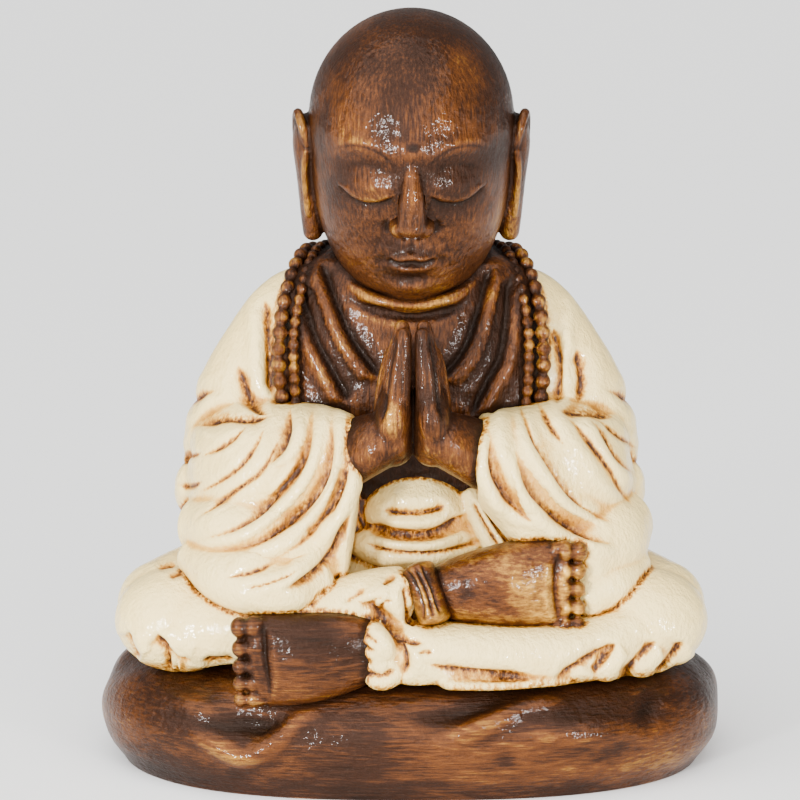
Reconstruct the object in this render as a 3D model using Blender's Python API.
# A praying monk, seated cross-legged on a rock: one cast piece, painted brown-gold and cream.
#
# The monk faces -Y, up is +Z, and the underside of the rock is on z = 0.
# Forms are laid out in figure units: the monk, from the top of the rock to the crown, is 257 units tall.
# Fold lines are drawn on a sheet: the figure as seen from in front and 10 degrees above,
# on a square of 800 by 800 marks, with the middle line of the figure at mark 411.

import math

import bmesh
import bpy
import numpy as np
from mathutils import Euler, Matrix, Vector
from mathutils.bvhtree import BVHTree

# Named sizes, in metres.
MONK_HEIGHT = 0.257        # from the top of the rock to the crown
ROCK_WIDTH = 0.2500        # left to right
ROCK_DEPTH = 0.1600        # front to back
ROCK_HEIGHT = 0.043        # underside to the seat
BEAD_DIAMETER = 0.0064     # one bead of the prayer beads
FOLD_DEPTH = 0.0026        # how deep the creases of the cloth go
HEAD_TILT = 14.0           # how far the head is bowed, degrees
SKIN_CELL = 0.0014         # size of the cells that the joined skin is drawn with
FACETS = 9300              # triangles in the finished solid

UNIT = MONK_HEIGHT / 257
SEAT = 43.0                # height of the rock's top in figure units
BEAD = BEAD_DIAMETER / 2 / UNIT
FOLD = FOLD_DEPTH / UNIT

SHEET_MARKS = 2.479        # marks of the sheet to a figure unit
SHEET_MIDDLE = (411, 400)
EYE_DISTANCE, EYE_RISE, EYE_AIM = 1100.0, math.radians(10), 143.4


def clear_scene():
    for ob in list(bpy.data.objects):
        bpy.data.objects.remove(ob, do_unlink=True)


# Curves and closed forms

def spline(points, count):
    """A smooth run of `count` rows through the given rows."""
    p = np.asarray(points, float)
    ends = np.vstack([2 * p[0] - p[1], p, 2 * p[-1] - p[-2]])
    s = np.linspace(0, len(p) - 1 - 1e-9, count)
    i = s.astype(int)
    f = (s - i)[:, None]
    a, b, c, d = ends[i], ends[i + 1], ends[i + 2], ends[i + 3]
    return 0.5 * (2 * b + (c - a) * f + (2 * a - 5 * b + 4 * c - d) * f ** 2
                  + (3 * b - a - 3 * c + d) * f ** 3)


def linked(name, mesh):
    ob = bpy.data.objects.new(name, mesh)
    bpy.context.scene.collection.objects.link(ob)
    return ob


def tube(stations, up=(0, 0, 1), along=None, sides=40, rings=28, square=2.0, ends=(0.6, 0.6),
         name="form"):
    """A closed form through stations (x, y, z, half width, half height), with rounded ends.

    The rings stand square to the path, or square to `along` when it is given."""
    st = spline(stations, rings)
    path, half = st[:, :3], st[:, 3:5]
    if along is None:
        run = np.gradient(path, axis=0)
    else:
        run = np.tile(np.asarray(along, float), (rings, 1))
    run /= np.linalg.norm(run, axis=1)[:, None]
    wide = np.cross(np.asarray(up, float), run)
    wide /= np.linalg.norm(wide, axis=1)[:, None]
    high = np.cross(run, wide)

    rows = [(path[i], half[i], wide[i], high[i]) for i in range(rings)]
    for i, sign, share in ((0, -1, ends[0]), (-1, 1, ends[1])):
        cap = []
        for k in range(1, 7):
            a = k / 6 * math.pi / 2
            reach = sign * share * half[i].min() * math.sin(a)
            cap.append((path[i] + run[i] * reach, half[i] * max(math.cos(a), 0.02), wide[i],
                        high[i]))
        if share:
            rows = cap[::-1] + rows if sign < 0 else rows + cap

    turn = np.linspace(0, 2 * math.pi, sides, endpoint=False)
    cx = np.sign(np.cos(turn)) * np.abs(np.cos(turn)) ** (2 / square)
    cy = np.sign(np.sin(turn)) * np.abs(np.sin(turn)) ** (2 / square)
    verts = np.vstack([p + h[0] * cx[:, None] * w + h[1] * cy[:, None] * v for p, h, w, v in rows])
    faces = []
    for i in range(len(rows) - 1):
        for j in range(sides):
            k = (j + 1) % sides
            faces.append((i * sides + j, i * sides + k, (i + 1) * sides + k, (i + 1) * sides + j))
    faces.append(tuple(reversed(range(sides))))
    faces.append(tuple(range((len(rows) - 1) * sides, len(rows) * sides)))

    mesh = bpy.data.meshes.new(name)
    mesh.from_pydata([tuple(v) for v in verts], [], faces)
    bm = bmesh.new()
    bm.from_mesh(mesh)
    bmesh.ops.recalc_face_normals(bm, faces=bm.faces)
    bm.to_mesh(mesh)
    bm.free()
    return linked(name, mesh)


def lump(centre, radii, turn=(0, 0, 0), name="form", around=28):
    """An egg shape."""
    place = Matrix.Translation(Vector(centre)) @ Euler([math.radians(a) for a in turn]).to_matrix().to_4x4()
    bm = bmesh.new()
    bmesh.ops.create_uvsphere(bm, u_segments=around, v_segments=around // 2, radius=1,
                              matrix=place @ Matrix.Diagonal((*radii, 1)))
    mesh = bpy.data.meshes.new(name)
    bm.to_mesh(mesh)
    bm.free()
    return linked(name, mesh)


def both_sides(rows):
    """A route for one side and its mirror image."""
    return [rows, [(-r[0], *r[1:]) for r in rows]]


def fuse(name, forms, cell, soften=3):
    """One closed skin round overlapping forms."""
    bpy.ops.object.select_all(action="DESELECT")
    for ob in forms:
        ob.select_set(True)
    bpy.context.view_layer.objects.active = forms[0]
    if len(forms) > 1:
        bpy.ops.object.join()
    ob = bpy.context.view_layer.objects.active
    ob.name = name
    skin = ob.modifiers.new("skin", "REMESH")
    skin.mode = "VOXEL"
    skin.voxel_size = cell
    bpy.ops.object.modifier_apply(modifier=skin.name)
    if soften:
        soft = ob.modifiers.new("soften", "SMOOTH")
        soft.iterations = soften
        bpy.ops.object.modifier_apply(modifier=soft.name)
    return ob


# Carving: the skin's points are moved, so that a crease or a swell keeps the skin whole

def points_of(ob):
    mesh = ob.data
    co = np.empty(len(mesh.vertices) * 3, np.float32)
    no = np.empty(len(mesh.vertices) * 3, np.float32)
    mesh.vertices.foreach_get("co", co)
    mesh.vertex_normals.foreach_get("vector", no)
    return co.reshape(-1, 3).astype(float), no.reshape(-1, 3).astype(float)


def move_to(ob, co):
    ob.data.vertices.foreach_set("co", co.astype(np.float32).ravel())
    ob.data.update()


def ramp(x, a, b):
    t = np.clip((x - a) / (b - a), 0, 1)
    return t * t * (3 - 2 * t)


def on_sheet(co, no):
    """Where each point falls on the front sheet, in marks, and how squarely its skin faces the eye."""
    c, s = math.cos(EYE_RISE), math.sin(EYE_RISE)
    z = co[:, 2] - EYE_AIM
    away = EYE_DISTANCE + co[:, 1] * c - z * s
    scale = SHEET_MARKS * EYE_DISTANCE / away
    marks = np.stack([SHEET_MIDDLE[0] + co[:, 0] * scale,
                      SHEET_MIDDLE[1] - (co[:, 1] * s + z * c) * scale], axis=1)
    facing = -no[:, 1] * c + no[:, 2] * s
    return marks, facing


def from_side(co, no, side):
    """The same for a flat view from the back, the left or the right."""
    if side == "back":
        return co[:, (0, 2)] * SHEET_MARKS, no[:, 1]
    sign = 1 if side == "right" else -1
    return co[:, (1, 2)] * SHEET_MARKS, no[:, 0] * sign


def distance_to(route, marks):
    """Distance of each mark from a curved line, and how far along the line, 0 to 1."""
    line = spline(route, 6 * len(route))
    step = np.diff(line, axis=0)
    length = np.linalg.norm(step, axis=1)
    run = np.concatenate([[0], np.cumsum(length)])
    best = np.full(len(marks), 1e9)
    where = np.zeros(len(marks))
    for i in range(len(step)):
        off = marks - line[i]
        t = np.clip(off @ step[i] / length[i] ** 2, 0, 1)
        gap = np.linalg.norm(off - t[:, None] * step[i], axis=1)
        near = gap < best
        best[near] = gap[near]
        where[near] = (run[i] + t[near] * length[i]) / run[-1]
    return best, where


def crease(ob, routes, width=5.0, depth=1.0, view="front", taper=0.28):
    """Cuts V-shaped creases along routes drawn on a view. Depth is a share of FOLD_DEPTH."""
    co, no = points_of(ob)
    marks, facing = on_sheet(co, no) if view == "front" else from_side(co, no, view)
    deep = np.zeros(len(co))
    for route in routes:
        r = np.asarray(route, float)
        reach = width * SHEET_MARKS
        near = np.all((marks > r.min(0) - reach) & (marks < r.max(0) + reach),
                      axis=1) & (facing > -0.1)
        at = np.nonzero(near)[0]
        if not len(at):
            continue
        gap, where = distance_to(r, marks[at])
        ends = np.minimum(ramp(where, 0, taper), ramp(1 - where, 0, taper))
        q = np.clip(gap / (reach * (0.35 + 0.65 * ends)), 0, 1)
        deep[at] = np.maximum(deep[at], depth * FOLD * ends * ramp(facing[at], -0.1, 0.35) * (1
            - q) ** 2)
    move_to(ob, co - no * deep[:, None])


def swell(co, centre, radii, height, turn=0.0):
    """A soft rise on the face, drawn on (x, z), towards -Y; a negative height makes a hollow."""
    a = math.radians(turn)
    dx, dz = co[:, 0] - centre[0], co[:, 2] - centre[1]
    u = (dx * math.cos(a) + dz * math.sin(a)) / radii[0]
    v = (-dx * math.sin(a) + dz * math.cos(a)) / radii[1]
    return height * np.exp(-(u * u + v * v))


# The monk's forms, in figure units

def robe_forms():
    """Back, shoulders and upper arms, under one robe."""
    body = [(0, 16, 38, 66, 46), (0, 14, 60, 62, 44), (0, 11, 85, 53, 38), (0, 9, 110, 49, 34),
            (0, 7, 140, 50, 32),
            (0, 6, 165, 51, 28), (0, 6, 182, 47, 24), (0, 6, 193, 38, 20), (0, 5, 200, 26, 15)]
    forms = [tube(body, up=(0, 1, 0), sides=64, rings=50, square=2.2, ends=(0.2, 0.3), name="back")]
    arm = [(30, 6, 187, 12, 11), (43, 6, 177, 21, 19), (54, 6, 157, 25, 22),
           (63.5, 5, 136, 26.5, 25), (67, 4, 118, 26, 25)]
    for rows in both_sides(arm):
        forms.append(tube(rows, up=(0, 1, 0), ends=(0.5, 0.7), name="upper_arm"))
    return forms


def sleeve_left_forms():
    cloth = [(-90.5, 0, 104, 13, 19), (-85, -5, 106, 26, 31), (-72, -12, 107, 33, 38),
             (-56, -19, 108, 34, 40),
             (-40, -27, 110, 29, 39.5), (-29, -34, 112, 22, 37.5), (-21.5, -37, 113, 16, 36)]
    tip = [(-84, -32, 81, 12, 10), (-67, -46, 76, 15, 11.5), (-49, -53, 77, 13, 11),
           (-31, -52, 82, 9, 9)]
    return [tube(cloth, along=(1, 0, 0), sides=56, rings=40, square=2.4, ends=(0.4, 0.12),
                 name="sleeve"),
            tube(tip, rings=20, name="sleeve_tip")]


def sleeve_right_forms():
    cloth = [(89.5, 0, 106, 13, 19), (84, -5, 108, 27, 30), (72, -12, 109, 33, 36),
             (58, -20, 111, 33, 36.5),
             (46, -28, 116, 28, 32), (36, -34, 123, 21, 25.5), (27.5, -37, 129, 15, 19)]
    tip = [(86, -30, 84, 10, 9), (77, -41, 78, 12, 11), (68, -47, 73, 9, 9)]
    return [tube(cloth, along=(-1, 0, 0), sides=56, rings=40, square=2.4, ends=(0.4, 0.15),
                 name="sleeve"),
            tube(tip, rings=20, name="sleeve_tip")]


def trouser_forms():
    """Crossed legs, the lap and the gathered cuffs."""
    forms = [lump((0, -8, 56), (62, 52, 20), name="lap")]
    thigh = [(30, 22, 66, 26, 30), (55, 12, 66, 28, 27), (79, -8, 64, 28, 23),
             (95.5, -24, 62, 25, 20.5)]
    for rows in both_sides(thigh):
        forms.append(tube(rows, rings=24, square=2.2, ends=(0.5, 0.95), name="thigh"))
    upper_shin = [(-89, -38, 60, 20, 18), (-62, -50, 63, 15, 14), (-36, -53, 69, 13, 12),
                  (-14, -53, 75, 12, 11), (-4, -52, 77, 10, 10)]
    lower_shin = [(91, -36, 58, 20, 18), (66, -52, 54, 16, 12), (40, -59, 54.5, 14, 11),
                  (14, -61, 55, 14, 11.5), (-2, -61, 55, 13, 12)]
    under_hem = [(66, -52, 46, 11, 4.5), (40, -60, 45.5, 13, 4), (12, -62, 45.5, 13, 4)]
    for s in (-1, 1):
        forms.append(lump((s * 91.5, -33, 61), (26, 24, 21), name="knee"))
    forms.append(tube(upper_shin, rings=30, ends=(0.8, 0.5), name="upper_shin"))
    forms.append(tube(lower_shin, rings=30, square=2.5, ends=(0.8, 0.5), name="lower_shin"))
    forms.append(tube(under_hem, rings=16, ends=(0.8, 0.5), name="under_hem"))
    for centre, radii, lean in (((-14, -57, 76), (13, 9, 8), -20),
                                ((-5, -58, 75), (7, 8, 11.5), 10),
                                ((-12, -66, 60), (9, 9, 9), 0), ((-11, -66, 50), (9, 9, 8), 0),
                                ((-2, -65, 55), (7, 8, 11), 0)):
        forms.append(lump(centre, radii, (0, lean, 0), name="gather"))
    return forms


def belly_forms():
    return [lump((2, -10, 101), (25, 26, 20), name="belly"),
            lump((2, -14, 89), (30, 24, 12), name="belly_low"),
            tube([(24, -20, 108, 5, 8), (31, -26, 96, 6, 9), (39, -30, 84, 7, 8)], up=(0, 1, 0),
                 rings=16, name="side_strip")]


def under_robe_forms():
    """The brown robe on the chest, its collar and the neck."""
    chest = [(0, -2, 108, 44, 22), (0, -3, 135, 54, 25), (0, -3, 160, 56, 24),
             (0, -2, 178, 54.5, 22), (0, 0, 190, 50, 20),
             (0, 2, 198, 43, 17), (0, 3, 203, 34, 13)]
    forms = [tube(chest, up=(0, 1, 0), sides=64, rings=40, square=2.9, ends=(0.2, 0.4),
                  name="chest")]
    collar = [(-31, 0, 200, 3, 3), (-27, -14, 194, 3, 3), (-15, -23, 187.5, 3, 3),
              (0, -26, 185.2, 3, 3),
              (15, -23, 187.5, 3, 3), (27, -14, 194, 3, 3), (31, 0, 200, 3, 3)]
    forms.append(tube(collar, rings=40, sides=18, name="collar"))
    yoke = [(-38, 2, 199, 6, 5), (-30, 18, 201, 6, 6), (0, 25, 199, 6, 7), (30, 18, 201, 6, 6),
            (38, 2, 199, 6, 5)]
    forms.append(tube(yoke, rings=40, sides=20, name="yoke"))
    forms.append(tube([(0, -3, 172, 24, 19), (0, -4, 200, 24, 20), (0, -4, 214, 24, 20)],
                      up=(0, 1, 0), rings=16, name="neck"))
    return forms


def hand_forms():
    forms = []
    for s in (-1, 1):
        palm = [(s * 8.5 + 0.5, -48, 124, 8.8, 13), (s * 8.4 + 0.5, -50, 134, 8.8, 15),
                (s * 7.2 + 0.5, -51, 147, 7.4, 15), (s * 6.0 + 0.5, -51, 158, 5.4, 12)]
        forms.append(tube(palm, up=(0, 1, 0), rings=20, square=2.2, ends=(0.8, 0.4), name="palm"))
        for y, tip, out in ((-60.5, 179, 0.0), (-54.5, 181, 1.0), (-48, 176, 2.2),
                            (-42.5, 169, 3.2)):
            finger = [(s * (6.9 + out) + 0.5, y + 2.5, 142, 5.6, 3.6),
                      (s * (5.9 + out) + 0.5, y, 156, 5.0, 3.7),
                      (s * (4.7 + out * 0.8) + 0.5, y, 168, 4.1, 3.4),
                      (s * (3.6 + out * 0.6) + 0.5, y + 0.5, tip, 3.0, 2.8)]
            forms.append(tube(finger, up=(0, 1, 0), rings=16, sides=20, ends=(0.5, 1.0),
                              name="finger"))
        wrist = [(s * 9 + 1, -48, 129, 9, 12), (s * 17 + 1, -46, 130, 11, 13.5),
                 (s * 26 + 1, -42, 130.5, 11, 13.5), (s * 34 + 1, -37, 130, 10, 13)]
        forms.append(tube(wrist, along=(s, 0, 0), rings=20, ends=(0.6, 0.3), name="wrist"))
    return forms


def foot_forms(heel_to_ball, toes, name):
    """A foot, with its sole to the front; each toe is (x, y, z, radius) and points the way the foot does."""
    way = 1 if heel_to_ball[-1][0] > heel_to_ball[0][0] else -1
    forms = [tube(heel_to_ball, rings=26, square=2.5, ends=(0.5, 0.6), name=name)]
    for x, y, z, r in toes:
        toe = [(x, y, z, r * 0.85, r * 0.85), (x + way * 4.0, y - 0.6, z, r, r),
               (x + way * 6.2, y - 0.4, z, r * 0.72, r * 0.72),
               (x + way * 8.6, y - 0.2, z - 0.3, r * 0.95, r * 0.95)]
        forms.append(tube(toe, rings=16, sides=20, ends=(0.6, 0.95), name=name + "_toe"))
    return forms


def low_foot_forms():
    foot = [(-14, -62, 56, 9, 12), (-26, -64, 56, 11, 16), (-42, -66, 54, 11.5, 18),
            (-55, -66, 53.5, 9.5, 18.5), (-59, -66, 53, 8, 18)]
    toes = [(-57, -69.5, z, r) for z, r in ((67.5, 4.4), (59.2, 3.8), (52.0, 3.6), (45.2, 3.5),
                                            (38.8, 3.2))]
    return foot_forms(foot, toes, "low_foot")


def high_foot_forms():
    foot = [(8, -50, 76.5, 9, 9), (20, -52, 78, 12, 13), (36, -53, 79.5, 13, 16.5),
            (50, -52, 80, 11, 18.2), (57, -52, 80, 9, 18.2)]
    toes = [(55.5, -56.5, z, r) for z, r in ((94.2, 4.3), (86.6, 3.8), (79.2, 3.6), (72.0, 3.6),
                                             (65.2, 3.3))]
    return foot_forms(foot, toes, "high_foot")


def band_forms():
    rows = [(2.5, -54, 86, 6.5, 12), (6, -57, 78, 6.5, 12), (9, -60, 68, 6.5, 12)]
    return [tube(rows, up=(0, 1, 0), rings=14, ends=(0.4, 0.4), name="ankle_band")]


def bead_forms():
    """Prayer beads: down the chest on both sides, round the back of the neck."""
    outer = [(50.5, -21.5, 142), (52, -22.5, 158), (51.8, -20.5, 173), (49.5, -14, 188),
             (44, 3, 201.5), (37, 19, 202), (22, 30, 196), (0, 34.5, 191)]
    inner = [(45, -24.5, 142), (46, -25, 158), (46, -22.5, 174), (43, -15, 191), (38, 2, 203.5),
             (31, 17, 204), (18, 27, 199), (0, 31, 195)]
    forms = []
    for side, radius in ((outer, BEAD), (inner, BEAD * 0.72)):
        path = spline(side + [(-x, y, z) for x, y, z in side[-2::-1]], 400)
        run = np.concatenate([[0], np.cumsum(np.linalg.norm(np.diff(path, axis=0), axis=1))])
        count = int(run[-1] // (radius * 1.97))
        for k in range(count + 1):
            at = [np.interp(run[-1] * k / count, run, path[:, i]) for i in range(3)]
            forms.append(lump(at, (radius, radius, radius), name="bead", around=12))
        cord = [(*p, radius * 0.6, radius * 0.6) for p in path[::10]]
        forms.append(tube(cord, up=(0, 1, 0.05), rings=60, sides=8, name="cord"))
    return forms


def head_forms():
    """Skull, ears and the parts of the face that stand out, upright and centred on the origin."""
    skull = [(0, 1.5, 34, 31, 35), (0, 1, 26, 37.5, 41.5), (0, 1, 15, 40.3, 44.6),
             (0, 0, 2, 39.8, 44), (0, -3, -14, 38.4, 40),
             (0, -8, -28, 35.5, 34), (0, -14, -40, 29.5, 26.5), (0, -18, -48, 22.5, 19.5),
             (0, -20, -53, 14, 12)]
    forms = [tube(skull, up=(0, 1, 0), sides=72, rings=60, square=2.12, ends=(0.3, 0.3),
                  name="skull")]
    forms.append(lump((0, 1.5, 13.5), (40.2, 44.8, 41.8), name="crown", around=48))
    nose = [(0, -42.0, 10, 3.0, 2.4), (0, -43.0, 1, 3.1, 3.2), (0, -44.2, -9, 3.9, 4.4),
            (0, -45.4, -17.0, 5.2, 5.2)]
    forms.append(tube(nose, up=(0, 1, 0), rings=18, sides=24, ends=(0.5, 0.8), name="nose"))
    for s in (-1, 1):
        forms.append(lump((s * 5.8, -42.6, -18.2), (3.8, 4.8, 3.5), name="nostril"))
        flap = [(s * 39.5, -1, 9, 2.6, 7), (s * 40, 2, 2, 2.4, 9), (s * 39.5, 3, -12, 2.2, 8),
                (s * 38.2, 1, -25, 2.4, 6), (s * 37.6, -1, -33, 2.8, 5)]
        forms.append(tube(flap, up=(0, 1, 0), rings=20, sides=24, ends=(0.8, 0.9), name="ear"))
        rim = [(s * 40.5, -7, 4), (s * 42.0, -5, 12), (s * 43.2, 3, 15.5), (s * 43.4, 10, 10),
               (s * 42.4, 12, -3), (s * 40.8, 9, -17), (s * 39.6, 4.5, -29)]
        forms.append(tube([(*p, 2.0, 2.0) for p in rim], up=(1, 0, 0.01), rings=30, sides=14,
                          ends=(0.9, 0.9), name="ear_rim"))
    return forms


def shape_face(ob):
    """Brows, closed lids, cheeks, lips and chin as soft rises on the front of the head."""
    co, no = points_of(ob)
    rise = swell(co, (0, -46), (9, 6.5), 3.6) + swell(co, (0, -30), (13, 8), 2.4) - swell(co,
        (0, -39.8), (7, 2.2), 1.6)
    rise -= swell(co, (0, -25.2), (1.8, 3.0), 1.0)
    for s in (-1, 1):
        rise += swell(co, (s * 17, 4.5), (12.5, 5.5), -3.4, s * -10)
        rise += swell(co, (s * 17, -1.6), (9.8, 5.4), 5.4, s * -8)
        rise += swell(co, (s * 8, 9.5), (7, 2.4), 1.5, s * 35)
        rise += swell(co, (s * 21, 13.2), (11, 2.6), 1.8, s * -12)
        rise += swell(co, (s * 21, -19), (12, 10), 2.0)
        rise += swell(co, (s * 3.4, -31.2), (4.2, 1.9), 2.4, s * -16)
        rise -= swell(co, (s * 11.6, -32.6), (2.0, 2.4), 1.0)
    rise += swell(co, (0, -35.6), (6.0, 2.2), 2.9)
    front = ramp(-no[:, 1], 0.05, 0.5) * ramp(-co[:, 1], 5, 20)
    co[:, 1] -= rise * front
    move_to(ob, co)


def carve_face(ob):
    """The lines of the face, drawn upright on (x, z): lids, brows, lips, nostrils."""
    co, no = points_of(ob)
    lines = [([(-10.5, -31.6), (-5, -33.4), (0, -32.8), (5, -33.4), (10.5, -31.6)], 1.4, 1.7)]
    for s in (-1, 1):
        lines.append(([(s * 7.0, -2.6), (s * 12, -5.9), (s * 19, -6.2), (s * 28, -2.0)], 1.5, 1.9))
        lines.append(([(s * 6.5, 2.2), (s * 11, 6.0), (s * 19, 6.6), (s * 29, 1.8)], 1.5, 1.3))
        lines.append(([(s * 9.2, -14.5), (s * 10.2, -18), (s * 8.8, -21.5)], 1.7, 1.0))
    deep = np.zeros(len(co))
    for route, width, depth in lines:
        gap, where = distance_to(np.asarray(route, float), co[:, (0, 2)])
        ends = np.minimum(ramp(where, 0, 0.2), ramp(1 - where, 0, 0.2))
        deep = np.maximum(deep, depth * ends * np.clip(1 - gap / (width * 1.6), 0, 1) ** 1.5)
    co[:, 1] += deep * ramp(-no[:, 1], 0.1, 0.5) * (co[:, 1] < -10)
    move_to(ob, co)


def bow(ob):
    """Tilts the upright head forward and sets it on the neck."""
    place = Matrix.Translation(Vector((0, -9, 244.8))) @ Matrix.Rotation(math.radians(HEAD_TILT),
        4, "X")
    ob.data.transform(place)
    ob.data.update()


# Fold lines, on the sheet

SLEEVE_LEFT_FOLDS = [
    [(349, 436), (346, 473), (334, 506)],
    [(332, 430), (327, 460), (320, 490)],
    [(316, 413), (308, 453), (291, 486), (263, 516), (231, 537), (191, 543)],
    [(312, 498), (286, 529), (253, 547), (226, 554), (201, 552)],
    [(326, 530), (303, 551), (276, 564), (226, 577)],
    [(336, 535), (319, 566), (299, 581), (280, 588)],
    [(291, 418), (284, 442), (268, 468)],
    [(273, 424), (262, 438)],
    [(250, 458), (226, 494), (206, 513), (185, 521)],
]
SLEEVE_LEFT_EDGE_FOLDS = [[(178, 451), (190, 453), (204, 448)],
                          [(178, 483), (190, 486), (202, 480)]]
SLEEVE_RIGHT_FOLDS = [
    [(488, 441), (493, 470), (506, 496), (526, 518), (545, 531)],
    [(513, 457), (523, 483), (543, 506), (566, 524), (596, 537), (618, 546)],
    [(516, 411), (529, 435), (544, 463), (566, 489), (587, 511), (613, 526)],
    [(559, 411), (582, 435), (599, 458), (616, 483), (634, 508)],
    [(579, 414), (604, 435), (618, 458), (641, 480)],
    [(597, 418), (612, 431), (634, 440)],
]
TROUSER_FOLDS = [
    [(614, 640), (606, 655), (592, 664)],
    [(655, 640), (636, 669), (616, 683)],
    [(686, 640), (672, 666), (657, 681)],
    [(420, 664), (455, 672), (500, 677), (548, 680)],
    [(125, 634), (130, 650), (140, 664)],
    [(155, 634), (160, 655), (168, 677)],
    [(158, 638), (184, 655), (200, 675)],
    [(152, 567), (166, 566), (176, 565)],
    [(340, 606), (356, 598), (368, 588)],
]
GATHER_FOLDS = [
    [(356, 604), (378, 600), (400, 612)],
    [(378, 590), (392, 577), (404, 570)],
    [(404, 578), (407, 600), (412, 622)],
    [(372, 620), (384, 638), (396, 650)],
    [(362, 640), (378, 652), (392, 652)],
    [(362, 672), (380, 677), (398, 668)],
    [(400, 640), (404, 662), (404, 684)],
]
BELLY_FOLDS = [
    [(379, 508), (400, 512), (425, 513), (452, 508)],
    [(363, 524), (395, 535), (434, 533), (466, 517)],
    [(361, 538), (391, 549), (427, 553), (480, 540)],
    [(472, 503), (484, 526), (496, 548)],
    [(484, 501), (500, 524), (516, 546)],
]
LAPEL_FOLDS = [
    [(322, 268), (338, 309), (359, 345), (390, 382)],
    [(296, 290), (316, 345), (341, 385), (362, 414)],
    [(498, 272), (481, 320), (460, 349), (434, 382)],
    [(516, 285), (508, 335), (490, 379), (468, 412)],
]
UPPER_ARM_FOLDS = [
    [(240, 376), (250, 396), (270, 414)],
    [(262, 306), (267, 345), (271, 388)],
    [(576, 345), (580, 378), (578, 402)],
    [(556, 330), (562, 366), (556, 405)],
]
BAND_LINES = [[(412, 562), (426, 590), (434, 622)], [(404, 566), (416, 592), (424, 622)],
              [(419, 560), (433, 588), (441, 618)]]
TOE_LINES = [[(558, 545), (556, 590), (561, 634)], [(263, 618), (264, 660), (270, 705)]]


def back_folds():
    """Long folds that fan out down the back of the robe."""
    routes = []
    for k in range(-3, 4):
        x = k * 13.0
        lean = 1.0 + 0.25 * abs(k)
        routes.append([(x * 0.75 * SHEET_MARKS, (172 - 3 * abs(k)) * SHEET_MARKS),
                       (x * SHEET_MARKS, 130 * SHEET_MARKS),
                       (x * lean * SHEET_MARKS, 90 * SHEET_MARKS),
                       (x * lean * 1.15 * SHEET_MARKS, 52 * SHEET_MARKS)])
    return routes


def side_folds():
    """Folds across the elbow and down the upper arm, seen from the side."""
    marks = SHEET_MARKS
    return [[(-14 * marks, 150 * marks), (4 * marks, 143 * marks), (24 * marks, 146 * marks)],
            [(-20 * marks, 128 * marks), (0, 118 * marks), (20 * marks, 120 * marks)],
            [(-22 * marks, 108 * marks), (-4 * marks, 98 * marks), (14 * marks, 96 * marks)],
            [(10 * marks, 178 * marks), (16 * marks, 158 * marks), (22 * marks, 130 * marks)]]


# The rock

def rock():
    """A low slab with rounded edges and soft dents, in metres."""
    w, d, h = ROCK_WIDTH / 2, ROCK_DEPTH / 2, ROCK_HEIGHT
    profile = [(-0.06, 0.92, 0.93), (0.06, 0.95, 0.955), (0.26, 0.995, 0.995), (0.50, 1.0, 1.0),
               (0.70, 0.975, 0.97), (0.85, 0.925, 0.91),
               (0.95, 0.86, 0.83), (1.0, 0.77, 0.72)]
    rows = [(0, 0, z * h, x * w, y * d) for z, x, y in profile]
    slab = tube(rows, up=(0, 1, 0), sides=140, rings=34, square=2.5, ends=(0, 0), name="rock")
    slab = fuse("rock", [slab], SKIN_CELL, soften=2)
    co, no = points_of(slab)
    u, v = co[:, 0] / w, co[:, 2] / h
    side = ramp(np.hypot(co[:, 0] / w, co[:, 1] / d), 0.62, 0.9)
    front = ramp(-co[:, 1] / d, 0.3, 0.8)
    rise = np.zeros(len(co))
    for cu, cv, ru, rv, height in ((-0.66, 0.55, 0.16, 0.24, -0.0035),
                                   (-0.52, 0.12, 0.30, 0.12, 0.0022),
                                   (0.75, 0.35, 0.22, 0.25, 0.0020),
                                   (0.30, 0.62, 0.26, 0.14, -0.0022),
                                   (0.05, 0.15, 0.24, 0.12, 0.0016),
                                   (0.42, 0.25, 0.10, 0.4, -0.0014)):
        rise += height * np.exp(-((u - cu) / ru) ** 2 - ((v - cv) / rv) ** 2) * front
    angle = np.arctan2(co[:, 1] / d, co[:, 0] / w)
    rise += 0.0011 * np.sin(5 * angle + 7 * v) * np.sin(3 * angle - 2) * side * (1 - front)
    move_to(slab, co + no * (rise * ramp(v, 0.0, 0.12))[:, None])
    return slab


def placed(ob):
    """From figure units to metres, on top of the rock."""
    ob.data.transform(Matrix.Translation((0, 0,
                                          ROCK_HEIGHT - SEAT * UNIT)) @ Matrix.Diagonal((UNIT,
                                              UNIT, UNIT, 1)))
    ob.data.update()
    return ob


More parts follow.
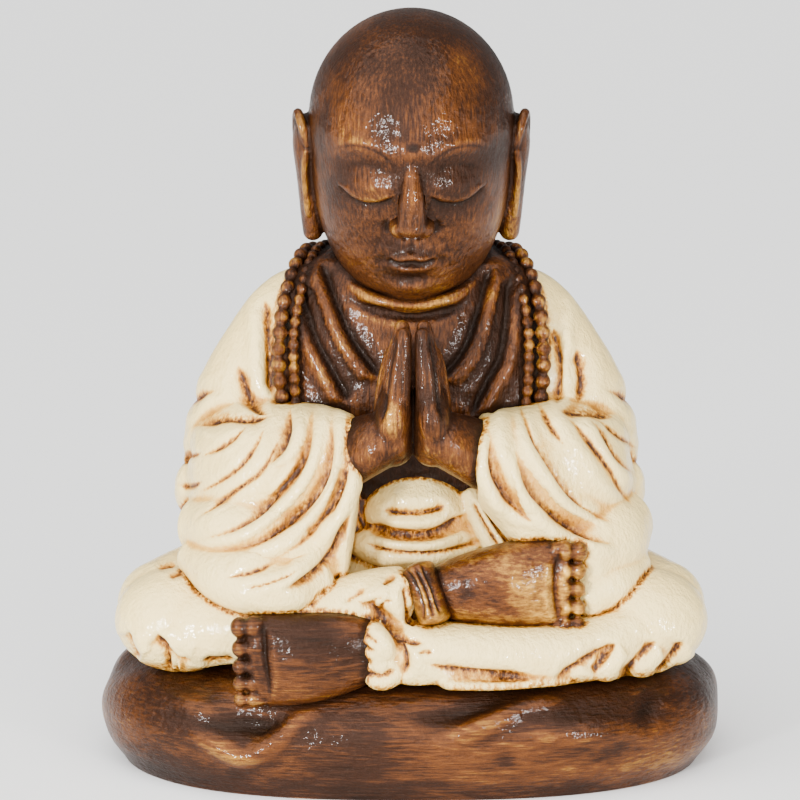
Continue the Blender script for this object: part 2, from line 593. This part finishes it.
def monk():
    """All the pieces of the figure, carved, as (object, paint)."""
    cell = SKIN_CELL / UNIT
    robe = fuse("robe", robe_forms(), cell)
    crease(robe, UPPER_ARM_FOLDS, 4.5, 1.0)
    crease(robe, back_folds(), 6.0, 0.9, "back")
    sleeves = [fuse("sleeve_left", sleeve_left_forms(), cell),
               fuse("sleeve_right", sleeve_right_forms(), cell)]
    co, _ = points_of(sleeves[0])
    co[:, 0] -= 5.5 * ramp(118 - co[:, 2], 0, 42) * ramp(co[:, 0], -50, -24)
    move_to(sleeves[0], co)
    crease(sleeves[0], SLEEVE_LEFT_FOLDS, 4.6, 1.05)
    crease(sleeves[0], SLEEVE_LEFT_EDGE_FOLDS, 3.0, 0.6)
    crease(sleeves[1], SLEEVE_RIGHT_FOLDS, 4.6, 1.05)
    crease(sleeves[0], side_folds(), 5.0, 0.7, "left")
    crease(sleeves[1], side_folds(), 5.0, 0.7, "right")
    trousers = fuse("trousers", trouser_forms(), cell)
    crease(trousers, TROUSER_FOLDS, 4.0, 0.9)
    crease(trousers, GATHER_FOLDS, 3.0, 0.8)
    belly = fuse("belly_wrap", belly_forms(), cell)
    crease(belly, BELLY_FOLDS, 3.4, 0.9)
    under = fuse("under_robe", under_robe_forms(), cell)
    crease(under, LAPEL_FOLDS, 3.4, 1.1)
    head = fuse("head", head_forms(), cell * 0.8, soften=4)
    shape_face(head)
    carve_face(head)
    bow(head)
    feet = [fuse("low_foot", low_foot_forms(), cell * 0.9, soften=2),
            fuse("high_foot", high_foot_forms(), cell * 0.9, soften=2)]
    for foot in feet:
        crease(foot, TOE_LINES, 2.4, 0.9)
    band = fuse("ankle_band", band_forms(), cell, soften=2)
    crease(band, BAND_LINES, 1.8, 0.6)
    hands = fuse("hands", hand_forms(), cell * 0.8, soften=2)
    beads = fuse("prayer_beads", bead_forms(), cell * 0.8, soften=1)
    cream = [robe, *sleeves, trousers, belly]
    brown = [under, head, *feet, band, hands, beads]
    return [(placed(ob), 0) for ob in cream] + [(placed(ob), 1) for ob in brown]


def paint(name, colour, rough):
    mat = bpy.data.materials.new(name)
    mat.use_nodes = True
    node = mat.node_tree.nodes["Principled BSDF"]
    node.inputs["Base Color"].default_value = (*colour, 1)
    node.inputs["Roughness"].default_value = rough
    return mat


def one_skin(pieces):
    """Joins the pieces into one closed solid with a flat underside, and colours it piece by piece."""
    finders = []
    for ob, slot in pieces:
        bm = bmesh.new()
        bm.from_mesh(ob.data)
        finders.append((BVHTree.FromBMesh(bm), slot))
        bm.free()
    solid = fuse("praying_monk", [ob for ob, slot in pieces], SKIN_CELL, soften=2)

    bm = bmesh.new()
    bm.from_mesh(solid.data)
    cut = bmesh.ops.bisect_plane(bm, geom=bm.verts[:] + bm.edges[:] + bm.faces[:],
                                 plane_co=(0, 0, 0),
                                 plane_no=(0, 0, -1), clear_outer=True)
    rim = [e for e in cut["geom_cut"] if isinstance(e, bmesh.types.BMEdge)]
    bmesh.ops.contextual_create(bm, geom=rim)
    bmesh.ops.triangulate(bm, faces=bm.faces)
    bm.to_mesh(solid.data)
    bm.free()

    thin = solid.modifiers.new("thin", "DECIMATE")
    thin.ratio = FACETS / len(solid.data.polygons)
    bpy.ops.object.modifier_apply(modifier=thin.name)

    bm = bmesh.new()
    bm.from_mesh(solid.data)
    keep_main_shell(bm)
    for v in bm.verts:
        if v.co.z < 0.0002:
            v.co.z = 0.0
    bmesh.ops.recalc_face_normals(bm, faces=bm.faces)
    bm.to_mesh(solid.data)
    bm.free()

    solid.data.materials.clear()
    solid.data.materials.append(paint("cream_paint", (0.84, 0.75, 0.58), 0.35))
    solid.data.materials.append(paint("brown_gold_paint", (0.17, 0.066, 0.022), 0.35))
    for face in solid.data.polygons:
        best = min(((finder.find_nearest(face.center)[3], slot) for finder, slot in finders),
                   key=lambda pair: pair[0])
        face.material_index = best[1]
    return solid


def keep_main_shell(bm):
    """Removes any small closed shell left inside by the joining."""
    bm.verts.ensure_lookup_table()
    left = set(bm.verts)
    shells = []
    while left:
        start = left.pop()
        group, todo = {start}, [start]
        while todo:
            v = todo.pop()
            for e in v.link_edges:
                o = e.other_vert(v)
                if o in left:
                    left.discard(o)
                    group.add(o)
                    todo.append(o)
        shells.append(group)
    shells.sort(key=len)
    extra = [v for group in shells[:-1] for v in group]
    bmesh.ops.delete(bm, geom=extra, context="VERTS")


def centred(ob):
    """Puts the middle of the outline over the origin."""
    co, _ = points_of(ob)
    mid = (co.min(0) + co.max(0)) / 2
    ob.data.transform(Matrix.Translation((-mid[0], -mid[1], 0)))
    ob.data.update()


clear_scene()
figure = one_skin(monk() + [(rock(), 1)])
centred(figure)
